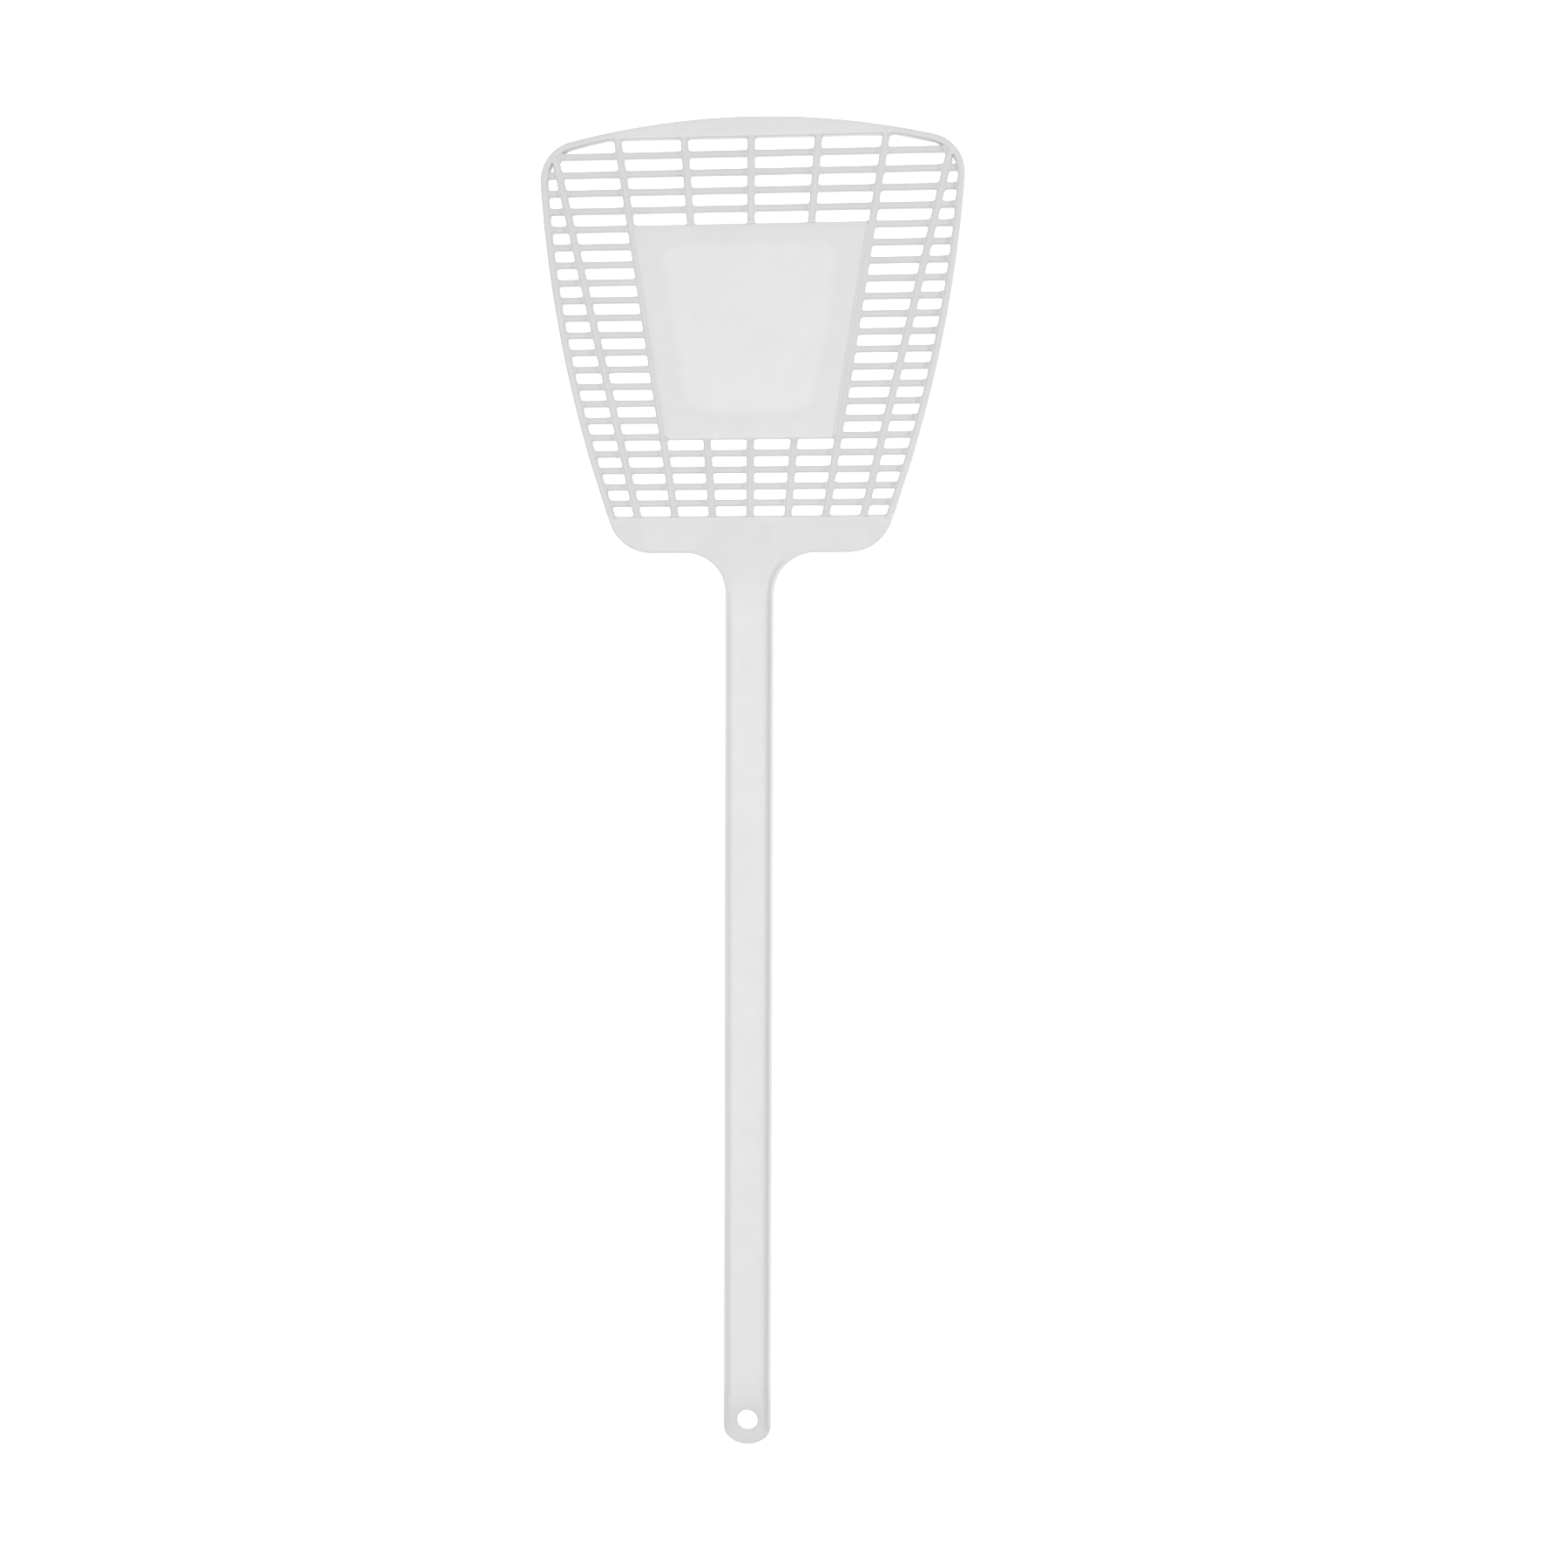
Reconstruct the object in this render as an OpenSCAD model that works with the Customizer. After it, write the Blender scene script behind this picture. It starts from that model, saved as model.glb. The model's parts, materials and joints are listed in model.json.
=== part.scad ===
// Fly swatter, moulded in one piece from white plastic.
// It lies on its flat back. +Z points out of the front face and +Y runs from the handle to the tip.
// The origin is the centre of the hanging hole, on the back face.

/* [Overall] */
// Length from the end of the handle to the tip of the head
total_l = 450; // [420:1:480]
// Thickness of the rim, the tip band and the shoulder
rim_t = 3.0; // [2.7:0.1:3.1]

/* [Handle] */
// Width of the handle beside the hanging hole
handle_end_w = 15.9; // [15:0.1:17]
// Width of the handle where it meets the neck
handle_neck_w = 16.4; // [15:0.1:18]
// Thickness of the web between the two edge beads
web_t = 2.0; // [1.2:0.1:2.4]
// Width of an edge bead
bead_w = 1.7; // [1.2:0.1:1.8]
// Height of an edge bead above the back face
bead_t = 4.0; // [4:0.1:5]
// Diameter of the hanging hole
hole_d = 7.1; // [5:0.1:7.5]
// Distance from the end of the handle to the centre of the hanging hole
hole_from_end = 8.1; // [7.5:0.1:10]
// Thickness of the tab around the hanging hole
tab_t = 3.1; // [2.7:0.1:3.1]
// Distance from the centre of the hanging hole to the top of its tab
tab_h = 10; // [8:0.5:14]
// Radius of the arc across the end of the handle
end_arc_r = 9.5; // [9.5:0.5:14]
// Radius of the two corners of that end
end_corner_r = 5; // [4:0.5:5.5]
// Radius of the fillets between the handle and the shoulder
neck_r = 14; // [10:1:18]
// How far each edge bead follows its fillet, in degrees
bead_sweep = 55; // [30:5:70]
// Length of the slope that leads from the web up to a thicker part
ramp_l = 8; // [4:1:12]

/* [Head outline] */
// Height of the head, from the shoulder's lower edge to the tip
head_h = 147.4; // [140:0.2:150]
// Width of the head across its top corners
head_w = 144.3; // [138:0.1:150]
// Depth below the tip at which that width is reached
widest_depth = 22; // [18:1:26]
// Width that the sides would have on the shoulder's lower edge
shoulder_w = 88.4; // [84:0.2:92]
// Radius of the gently curved sides
side_arc_r = 440; // [380:10:600]
// Radius of the arc across the tip
tip_arc_r = 267; // [240:1:300]
// Radius of the top corners
top_corner_r = 13.5; // [11:0.5:16]
// Radius of the shoulder's corners
shoulder_corner_r = 15; // [11:0.5:18]
// Width of the rim
rim_w = 2.4; // [2:0.1:3]

/* [Lattice] */
// Depth of the solid band at the tip
band_h = 6.95; // [6:0.05:8]
// Spacing of the cross ribs at the tip
pitch_top = 6.27; // [6.1:0.01:6.4]
// Spacing of the cross ribs at the shoulder
pitch_bottom = 5.56; // [5.4:0.01:5.7]
// Width of a cross rib
cross_rib_w = 2.1; // [1.6:0.1:2.6]
// Thickness of a cross rib
cross_rib_t = 2.0; // [1.6:0.1:2.2]
// Width of a long rib
long_rib_w = 2.4; // [1.8:0.1:2.8]
// Thickness of a long rib
long_rib_t = 2.6; // [2.4:0.1:3]
// Spacing of the long ribs at the band
spacing_top = 22.87; // [22.2:0.01:23.2]
// Spacing of the long ribs at the shoulder
spacing_bottom = 12.85; // [12.4:0.01:13.2]

/* [Panel] */
// Thickness of the border of the solid panel
panel_t = 1.8; // [1.5:0.1:2.4]
// Depth of the shallow field in the panel's front
field_depth = 0.3; // [0.1:0.1:0.6]
// Width of the border round that field
field_border = 8; // [5:0.5:12]
// Radius of the field's corners
field_corner_r = 8; // [3:1:10]

/* [Hidden] */
$fn = 64;

slot_rows = 22;
cross_ribs = slot_rows - 1;
long_ribs = 7;
first_split = 5;
last_split = 17;

end_y = -hole_from_end;
tip_y = total_l - hole_from_end;
shoulder_y = tip_y - head_h;
band_y = tip_y - band_h;
pitch_step = (pitch_top - pitch_bottom) / (slot_rows - 1);
plate_top_y = band_y + cross_rib_w - ribs_drop(slot_rows);
spacing_slope = (spacing_top - spacing_bottom) / (band_y - plate_top_y);

// Straight side of the handle: a point on it, its direction and its outward normal.
side_foot = [handle_end_w / 2, 0];
side_run = unit([handle_neck_w / 2, shoulder_y - neck_r] - side_foot);
side_out = [side_run.y, -side_run.x];

end_arc_c = [0, end_y + end_arc_r];
end_corner_c = line_meets_circle(side_foot - end_corner_r * side_out, side_run,
                                 end_arc_c, end_arc_r - end_corner_r);
bead_foot = end_corner_c + end_corner_r * side_out;
neck_c = [side_foot.x + (neck_r - side_out.y * (shoulder_y - neck_r)) / side_out.x, shoulder_y - neck_r];
neck_touch = neck_c - neck_r * side_out;
bead_l = norm(neck_touch - bead_foot);
web_top_y = neck_touch.y - ramp_l;

// Centres of the arcs that bound the right half of the head.
side_c = arc_centre([shoulder_w / 2, shoulder_y], [head_w / 2, tip_y - widest_depth], side_arc_r);
tip_c = [0, tip_y - tip_arc_r];
top_corner_c = circles_meet(side_c, side_arc_r - top_corner_r, tip_c, tip_arc_r - top_corner_r);
shoulder_corner_c = [
  side_c.x + leg(side_arc_r - shoulder_corner_r, shoulder_y + shoulder_corner_r - side_c.y),
  shoulder_y + shoulder_corner_r
];
tip_half_w = 52;
tip_reach = 40;

panel_top_y = rib_y(first_split) + cross_rib_w / 2;
panel_bottom_y = rib_y(last_split) - cross_rib_w / 2;

far = 400;
over = 1;
plastic = "whitesmoke";

long_rib_names = [for (i = [1:long_ribs]) str("long_rib_", i)];
cross_rib_names = [for (i = [1:cross_ribs]) str("cross_rib_", i < 10 ? "0" : "", i)];

// Geometry helpers.
function unit(v) = v / norm(v);
function leg(hypotenuse, other) = sqrt(hypotenuse * hypotenuse - other * other);
function angle_of(v) = atan2(v.y, v.x);
function mirrored(points) = [for (i = [len(points) - 1:-1:0]) [-points[i].x, points[i].y]];
function tail(points) = [for (i = [1:len(points) - 1]) points[i]];

// Points along an arc, both ends included.
function arc(c, r, from, to, steps) =
  [for (i = [0:steps]) let (a = from + (to - from) * i / steps) c + r * [cos(a), sin(a)]];

// Centre, to the left of the way from p to q, of the arc of radius r through both.
function arc_centre(p, q, r) =
  let (along = unit(q - p)) (p + q) / 2 + leg(r, norm(q - p) / 2) * [-along.y, along.x];

// Upper meeting point of two circles.
function circles_meet(a, ra, b, rb) =
  let (d = norm(b - a), e = (b - a) / d, t = (d * d + ra * ra - rb * rb) / (2 * d))
    a + t * e + leg(ra, t) * [-e.y, e.x];

// First point where the line from p along the unit vector u meets a circle.
function line_meets_circle(p, u, c, r) =
  let (along = (c - p) * u, aside = norm(p + along * u - c)) p + (along - leg(r, aside)) * u;

// Distance from the band's lower edge to the lower edge of cross rib i.
function ribs_drop(i) = i * pitch_top - pitch_step * i * (i - 1) / 2;
function rib_y(i) = band_y + cross_rib_w / 2 - ribs_drop(i);

// The long ribs fan out: k counts them from the middle one, and the angle is from +Y.
function spread(y) = spacing_bottom + spacing_slope * (y - plate_top_y);
function fan_angle(k) = atan(k * spacing_slope);
function fan_x(k, y) = k * spread(y);
function fan_edge(k, y, side) = fan_x(k, y) + side * long_rib_w / 2 / cos(fan_angle(k));

// Right half of the head, from the shoulder's lower edge up to the tip, set in by a margin.
function half_head(inset) =
  let (
    lean_low = angle_of(shoulder_corner_c - side_c),
    lean_high = angle_of(top_corner_c - side_c),
    lean_tip = angle_of(top_corner_c - tip_c)
  )
    concat(
      arc(shoulder_corner_c, shoulder_corner_r - inset, -90, lean_low, 8),
      tail(arc(side_c, side_arc_r - inset, lean_low, lean_high, 10)),
      tail(arc(top_corner_c, top_corner_r - inset, lean_high, lean_tip, 10)),
      tail(arc(tip_c, tip_arc_r - inset, lean_tip, 90, 12))
    );
function head(inset) = concat(half_head(inset), tail(mirrored(half_head(inset))));

// Flat shapes.
module band_of(y_low, y_high, half_w = far) {
  translate([-half_w, y_low]) square([2 * half_w, y_high - y_low]);
}

module tip_block() {
  band_of(tip_y - tip_reach, tip_y + over, tip_half_w);
}

module mesh_area() {
  intersection() {
    polygon(head(rim_w));
    band_of(plate_top_y, band_y);
  }
}

module panel_outline() {
  polygon([
    [fan_edge(-2, panel_bottom_y, 1), panel_bottom_y],
    [fan_edge(2, panel_bottom_y, -1), panel_bottom_y],
    [fan_edge(2, panel_top_y, -1), panel_top_y],
    [fan_edge(-2, panel_top_y, 1), panel_top_y]
  ]);
}

// Rounded field inside the panel: its corners are arcs, and its sides lean as the ribs do.
module field_outline() {
  lean = fan_angle(2);
  in_by = long_rib_w / 2 + field_border + field_corner_r;
  low = panel_bottom_y + field_border + field_corner_r;
  high = panel_top_y - field_border - field_corner_r;
  right = concat(
    arc([fan_x(2, low) - in_by / cos(lean), low], field_corner_r, -90, -lean, 6),
    arc([fan_x(2, high) - in_by / cos(lean), high], field_corner_r, -lean, 90, 8)
  );
  polygon(concat(right, mirrored(right)));
}

module cross_bar(i) {
  band_of(rib_y(i) - cross_rib_w / 2, rib_y(i) + cross_rib_w / 2);
}

module long_strip(k) {
  polygon([
    [fan_edge(k, plate_top_y, -1), plate_top_y],
    [fan_edge(k, plate_top_y, 1), plate_top_y],
    [fan_edge(k, band_y, 1), band_y],
    [fan_edge(k, band_y, -1), band_y]
  ]);
}

// Plan of the neck. Its sides below the fillets lie inside the grooves that the beads fill.
module neck_outline() {
  mid_bead = neck_r + bead_w / 2;
  right = [
    on_side(web_top_y) - bead_w / 2 * side_out,
    neck_c - mid_bead * [cos(bead_sweep / 4), -sin(bead_sweep / 4)],
    neck_c,
    [neck_c.x, shoulder_y]
  ];
  difference() {
    polygon(concat(right, mirrored(right)));
    for (side = [-1, 1])
      translate([side * neck_c.x, neck_c.y]) circle(r = neck_r);
  }
}

function on_side(y) = side_foot + side_run * ((y - side_foot.y) / side_run.y);

// Plan of the tab: a rounded end, then a tongue between the feet of the two beads.
module tab_outline() {
  lean = angle_of(end_corner_c - end_arc_c);
  right = concat(
    arc(end_arc_c, end_arc_r, -90, lean, 4),
    tail(arc(end_corner_c, end_corner_r, lean, angle_of(side_out), 8)),
    [bead_foot - bead_w * side_out, on_side(tab_h) - bead_w * side_out]
  );
  polygon(concat(right, mirrored(tail(right))));
}

// Cross-section of a bead.
module bead_section() {
  crown = arc([0, bead_t - bead_w / 2], bead_w / 2, 0, 180, 8);
  polygon(concat([[-bead_w / 2, 0], [bead_w / 2, 0]], crown));
}

// Cross-section of the groove that a bead fills.
module groove_section() {
  translate([-bead_w / 2, -over]) square([bead_w, bead_t + 2 * over]);
}

// Carries a cross-section along the right edge, from the tab to its end on the neck fillet.
module along_edge() {
  start = neck_touch - bead_w / 2 * side_out;
  translate([start.x, start.y, 0]) rotate([90, 0, angle_of(side_run) - 90])
    linear_extrude(height = bead_l) children();
  translate([neck_c.x, neck_c.y, 0]) rotate([0, 0, 180 + angle_of(side_out) - bead_sweep])
    rotate_extrude(angle = bead_sweep) translate([neck_r + bead_w / 2, 0]) children();
}

module on_side_of(side) {
  if (side > 0) children();
  else mirror([1, 0, 0]) children();
}

module grooves() {
  for (side = [-1, 1])
    on_side_of(side) along_edge() groove_section();
}

// Takes away what is above a slope that runs along Y from one height to another.
module above_slope(y_from, z_from, y_to, z_to) {
  rise = (z_to - z_from) / (y_to - y_from);
  y_low = min(y_from, y_to);
  y_high = max(y_from, y_to);
  translate([far / 2, 0, 0]) rotate([90, 0, -90]) linear_extrude(height = far)
    polygon([
      [-y_low, z_from + rise * (y_low - y_from)],
      [-y_high, z_from + rise * (y_high - y_from)],
      [-y_high, bead_t + over],
      [-y_low, bead_t + over]
    ]);
}

// Head.
module tip_band() {
  color(plastic) linear_extrude(height = rim_t) difference() {
    intersection() {
      polygon(head(0));
      tip_block();
    }
    mesh_area();
  }
}

module rim(side) {
  color(plastic) on_side_of(side) linear_extrude(height = rim_t) intersection() {
    difference() {
      polygon(head(0));
      polygon(head(rim_w));
      tip_block();
    }
    translate([0, plate_top_y]) square([far, far]);
  }
}

module long_rib(k) {
  color(plastic) difference() {
    linear_extrude(height = long_rib_t) intersection() {
      difference() {
        long_strip(k);
        if (abs(k) < 2) panel_outline();
      }
      mesh_area();
    }
    translate([0, 0, -over]) linear_extrude(height = cross_rib_t + over)
      for (i = [1:cross_ribs]) cross_bar(i);
  }
}

module cross_rib(i) {
  color(plastic) linear_extrude(height = cross_rib_t) difference() {
    intersection() {
      cross_bar(i);
      mesh_area();
    }
    if (i >= first_split && i <= last_split) panel_outline();
  }
}

module print_panel() {
  color(plastic) difference() {
    linear_extrude(height = panel_t) panel_outline();
    translate([0, 0, panel_t - field_depth]) linear_extrude(height = field_depth + over)
      field_outline();
  }
}

module shoulder_plate() {
  color(plastic) linear_extrude(height = rim_t) intersection() {
    polygon(head(0));
    band_of(shoulder_y - over, plate_top_y);
  }
}

// Handle.
module neck() {
  color(plastic) difference() {
    linear_extrude(height = rim_t) neck_outline();
    grooves();
    above_slope(web_top_y - over, web_t - over * (rim_t - web_t) / ramp_l, neck_touch.y, rim_t);
  }
}

module handle_web() {
  inner = [on_side(tab_h) - bead_w * side_out, on_side(web_top_y) - bead_w * side_out];
  color(plastic) linear_extrude(height = web_t) polygon(concat(inner, mirrored(inner)));
}

module edge_bead(side) {
  color(plastic) on_side_of(side) along_edge() bead_section();
}

module hang_tab() {
  ramp_foot = tab_h - ramp_l / 2;
  color(plastic) difference() {
    linear_extrude(height = tab_t) tab_outline();
    above_slope(tab_h + over, web_t - over * (tab_t - web_t) / (tab_h - ramp_foot), ramp_foot, tab_t);
    translate([0, 0, -over]) cylinder(d = hole_d, h = tab_t + 2 * over);
  }
}

tip_band();
rim(-1);  // rim_left
rim(1);  // rim_right
print_panel();
shoulder_plate();
neck();
handle_web();
edge_bead(-1);  // edge_bead_left
edge_bead(1);  // edge_bead_right
hang_tab();
for (i = [1:long_ribs])
  long_rib(i - (long_ribs + 1) / 2);
for (i = [1:cross_ribs])
  cross_rib(i);
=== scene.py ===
import cmath
import json
import math

import bpy
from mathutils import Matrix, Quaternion, Vector
from mathutils.geometry import delaunay_2d_cdt


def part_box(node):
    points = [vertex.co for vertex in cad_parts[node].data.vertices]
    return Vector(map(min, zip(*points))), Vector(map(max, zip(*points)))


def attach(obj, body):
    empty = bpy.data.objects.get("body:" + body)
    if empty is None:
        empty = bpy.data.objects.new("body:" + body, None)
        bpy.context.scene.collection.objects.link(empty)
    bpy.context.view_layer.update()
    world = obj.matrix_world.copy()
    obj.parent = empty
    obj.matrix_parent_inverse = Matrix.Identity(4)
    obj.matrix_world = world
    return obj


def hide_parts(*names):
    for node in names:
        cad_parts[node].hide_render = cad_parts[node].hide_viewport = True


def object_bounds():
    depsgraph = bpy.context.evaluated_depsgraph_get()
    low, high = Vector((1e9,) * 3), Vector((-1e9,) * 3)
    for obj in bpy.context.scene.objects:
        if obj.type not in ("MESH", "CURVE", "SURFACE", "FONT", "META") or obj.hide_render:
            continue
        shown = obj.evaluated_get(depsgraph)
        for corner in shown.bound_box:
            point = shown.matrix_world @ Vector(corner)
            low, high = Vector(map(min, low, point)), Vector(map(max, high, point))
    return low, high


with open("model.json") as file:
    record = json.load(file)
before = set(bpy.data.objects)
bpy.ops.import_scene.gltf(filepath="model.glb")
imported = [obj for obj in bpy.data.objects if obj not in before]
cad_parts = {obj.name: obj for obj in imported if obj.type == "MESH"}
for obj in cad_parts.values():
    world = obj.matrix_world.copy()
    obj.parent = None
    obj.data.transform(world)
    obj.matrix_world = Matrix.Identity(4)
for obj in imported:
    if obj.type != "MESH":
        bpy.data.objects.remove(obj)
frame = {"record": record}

cad_bounds = [list(corner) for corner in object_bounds()]

# Lengths are in millimetres in the CAD's frame, and plan points are complex numbers, x + y i.
MM = 0.001


def box(node):
    """Lowest and highest corner of a CAD node, in millimetres."""
    return [[c / MM for c in corner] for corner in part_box(node)]


# Positions that the frame gives.
end_y = cad_bounds[0][1] / MM
tip_y = cad_bounds[1][1] / MM
head_half_w = cad_bounds[1][0] / MM
(_, shoulder_y, _), (_, plate_y, rim_t) = box("shoulder_plate")
(_, panel_low_y, _), (_, panel_high_y, panel_t) = box("print_panel")
(_, tab_y, _), (_, web_top_y, web_t) = box("handle_web")
(fan_low_x, _, _), (fan_high_x, band_y, long_rib_t) = box("long_rib_5")
(_, _, _), (_, _, cross_rib_t) = box("cross_rib_01")
(_, _, _), (_, _, bead_t) = box("edge_bead_right")
(_, _, _), (_, _, tab_t) = box("hang_tab")
seam_x = box("tip_band")[1][0]
hole_r = next(m for m in frame["record"]["mounts"] if m["name"] == "hanging_hole")["dims"]["r_mm"]

# Sizes that shape the outline.
RIM_W = 2.4
LONG_RIB_W = 2.4
BEAD_W = 1.7
HANDLE_END_W = 15.9
HANDLE_NECK_W = 16.4
END_ARC_R = 9.5
END_CORNER_R = 5.0
NECK_R = 14.0
HEAD_W = 144.3
WIDEST_DEPTH = 22.0
SHOULDER_W = 88.4
SIDE_ARC_R = 440.0
TIP_ARC_R = 267.0
TOP_CORNER_R = 13.5
SHOULDER_CORNER_R = 15.0

# Sizes that shape the moulded surface.
FLARE_R = 0.75  # fillets in the corners of the slots
FOOT_R = 0.25  # edges of the back
RIM_CROWN_R = 0.75
LONG_CROWN_R = 0.65
CROSS_CROWN_R = 0.4
PLATE_EDGE_R = 0.7
PANEL_EDGE_R = 0.4
HOLE_EDGE_R = 0.4
RIB_LIFT = 0.45  # rise of a cross rib's top where it meets a long rib
RIM_LIFT = 0.75  # rise of a cross rib's top where it meets the rim
BAND_LIFT = 0.3  # rise of a long rib's top where it meets the band or the plate
LIFT_L = 2.2  # length of each of those rises
PANEL_SIDE_SINK = 0.4  # drop of the two long ribs' tops beside the panel
PANEL_SINK_LEAD = 1.5  # how far from the panel's ends that drop is complete, inside them
PANEL_SINK_L = 3  # length of that drop
RIM_RISE_L = 3  # length over which the outermost long ribs rise to the rim
RIM_FILLET_R = 0.3  # fillet where they meet the rim
RIM_SPREAD = 0.5  # width that they gain under it
PANEL_MEET = 0.9  # share of the step down to the panel that the long ribs take before they meet it
PANEL_MEET_L = 2.4  # length of that step
PANEL_FLARE_L = 1.8  # length over which the slots' fillets fade beside the panel
LIP_W = 2.2  # sloped lip along the plate's and the panel's edges
LIP_DROP = 0.35
PANEL_LIP_SHARE = 0.6  # the panel's lip drops by this share of the plate's
PANEL_SIDE_RISE = 0.35  # rise of the panel into the two long ribs that flank it
PANEL_SIDE_RISE_L = 0.9  # length of that rise
FIELD_DEPTH = 0.3
FIELD_SLOPE_L = 2.4  # width of the slope round the field
FIELD_TONE_L = 5  # width over which the border's painted shade turns into the field's painted light
FIELD_BORDER = 8.0
FIELD_CORNER_R = 8.0
BEAD_CREST = 0.75  # distance of the bead's crest from the edge
BEAD_OUTER_CURVE = 0.3  # how sharply the bead's top falls off on each side of the crest, per mm
BEAD_INNER_CURVE = 0.25
BEAD_SLOPE_START = 0.8  # distance from the edge at which the bead's inner side starts to fall
BEAD_SLOPE_L = 2.4  # length over which it falls to the web
BEAD_END_Y = -7  # height at which the beads have faded out round the handle's end
BEAD_END_L = 8  # length over which they fade there
BEAD_SWEEP = math.radians(55)  # how far the beads' own pieces follow the neck's fillets
BEAD_FADE = {1: (25, 55), -1: (-5, 32)}  # degrees up the fillet over which each bead fades
TAB_RAMP_L = 6  # length of the slope from the web down to the thicker tab
TAB_TONE_L = 10  # length of the change of painted shade there, which starts TAB_TONE_LEAD above the tab
TAB_TONE_LEAD = 4
NECK_RAMP_LEAD = 3  # how far up the fillets the slope to the shoulder goes

# Sizes that hide the joints between pieces.
EMBED = 0.3  # how far a rib or the panel runs into its neighbour
CORNER_EMBED = 4 * EMBED  # the same for the cross ribs' ends at the head's top corners
RIM_RUN = 0.5  # how far the outermost long ribs run on under the rim
RIM_GAP = 0.02  # how far below the rim's top they stay
CROSS_BACK_LIFT = 0.015  # backs at different heights, so that they don't coincide where they cross
LONG_BACK_LIFT = 0.03

# Fineness of the meshes.
SWEEP_STEPS = 18
PANEL_STEPS = 48
HOLE_STEPS = 72
FAR_SPACING = 6  # along the straight handle, one station in this many is kept
BAND_STEPS = 22
SHEET_CLEARANCE = 0.62  # least distance of a filling point from the lines, in spacings
TOUCHING = 0.01  # positions closer than this count as the same

# Painted light and shade: how light each region's colour is made. It stands in for light from the bright
# floor that shines through thin plastic, so thick parts, the rim and the narrow ribs are painted darker and
# thin parts lighter.
PLASTIC = (0.745, 0.745, 0.745)
WEB_TONE = 1.01
CROSS_TONE = 0.89
LONG_TONE = 0.9
RIM_TONE = 0.92
BAND_TONE = 0.99
PLATE_TONE = 0.95
TAB_TONE = 0.91
BORDER_TONE = 0.985
FIELD_TONE = 1.03
BAND_TONE_L = 14  # length over which the rim's painted shade turns into the band's lighter paint
WALL_PAINTED_LIGHT = 1.1  # painted light: walls are made lighter, to lift them out of the shade they get from facing sideways and from the walls across the slots

# Shares of a radius, from the edge inwards, at which a rounded edge has a line of the mesh.
ROUND = [1 - math.cos(math.radians(a)) for a in (0, 22.5, 45, 67.5, 90)]

# Distances from an outline at which the mesh has a line: on the rounded edge of the handle and the
# plate, on the handle's beads, and on its web.
EDGE_LINES = [PLATE_EDGE_R * q for q in ROUND[1:]]
BEAD_OFFSETS = [0.0] + EDGE_LINES + [BEAD_CREST, 1.0, 1.15, 1.3, 1.5, BEAD_W]
WEB_OFFSETS = [BEAD_W, 1.9, 2.1, 2.4, 2.8, 3.2]


# Plane geometry.
def unit(v):
    return v / abs(v)


def dot(a, b):
    return (a * b.conjugate()).real


def leg(hypotenuse, other):
    """Other leg of a right triangle, or 0 where there is none."""
    return math.sqrt(max(hypotenuse * hypotenuse - other * other, 0.0))


def mirrored(p):
    return -p.conjugate()


def spaced(start, stop, step):
    count = max(1, round(abs(stop - start) / step))
    return [start + (stop - start) * i / count for i in range(count + 1)]


def whole(half, high_y, low_y):
    """Closed outline from its right half, which runs up or down from axis to axis."""
    right = half[1:-1]
    return right + [complex(0, high_y)] + [mirrored(p) for p in reversed(right)] + [complex(0, low_y)]


def arc(centre, r, start, stop, steps):
    return [centre + cmath.rect(r, start + (stop - start) * i / steps) for i in range(steps + 1)]


def arc_centre(p, q, r):
    """Centre, to the left of the way from p to q, of the arc of radius r through both."""
    return (p + q) / 2 + leg(r, abs(q - p) / 2) * unit(q - p) * 1j


def circles_meet(a, ra, b, rb):
    d = abs(b - a)
    t = (d * d + ra * ra - rb * rb) / (2 * d)
    return a + (t + leg(ra, t) * 1j) * unit(b - a)


def line_meets_circle(p, u, c, r):
    along = dot(c - p, u)
    return p + (along - leg(r, abs(p + along * u - c))) * u


def smooth(t):
    t = min(max(t, 0.0), 1.0)
    return t * t * (3 - 2 * t)


def drop(e, r):
    """How far a rounded edge of radius r lies below the flat at a distance e from the edge."""
    return r - leg(r, r - max(e, 0.0)) if e < r else 0.0


# Outline of the handle.
side_foot = complex(HANDLE_END_W / 2, 0)
side_run = unit(complex(HANDLE_NECK_W / 2, shoulder_y - NECK_R) - side_foot)
side_out = side_run * -1j
end_arc_c = complex(0, end_y + END_ARC_R)
end_corner_c = line_meets_circle(
    side_foot - END_CORNER_R * side_out, side_run, end_arc_c, END_ARC_R - END_CORNER_R
)
bead_foot = end_corner_c + END_CORNER_R * side_out
neck_c = complex(
    side_foot.real + (NECK_R - side_out.imag * (shoulder_y - NECK_R)) / side_out.real, shoulder_y - NECK_R
)
neck_touch = neck_c - NECK_R * side_out
neck_start = cmath.phase(-side_out)
end_lean = cmath.phase(end_corner_c - end_arc_c)

# Outline of the head.
side_c = arc_centre(
    complex(SHOULDER_W / 2, shoulder_y), complex(HEAD_W / 2, tip_y - WIDEST_DEPTH), SIDE_ARC_R
)
tip_c = complex(0, tip_y - TIP_ARC_R)
top_corner_c = circles_meet(side_c, SIDE_ARC_R - TOP_CORNER_R, tip_c, TIP_ARC_R - TOP_CORNER_R)
low_corner_c = complex(
    side_c.real + leg(SIDE_ARC_R - SHOULDER_CORNER_R, shoulder_y + SHOULDER_CORNER_R - side_c.imag),
    shoulder_y + SHOULDER_CORNER_R,
)


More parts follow.
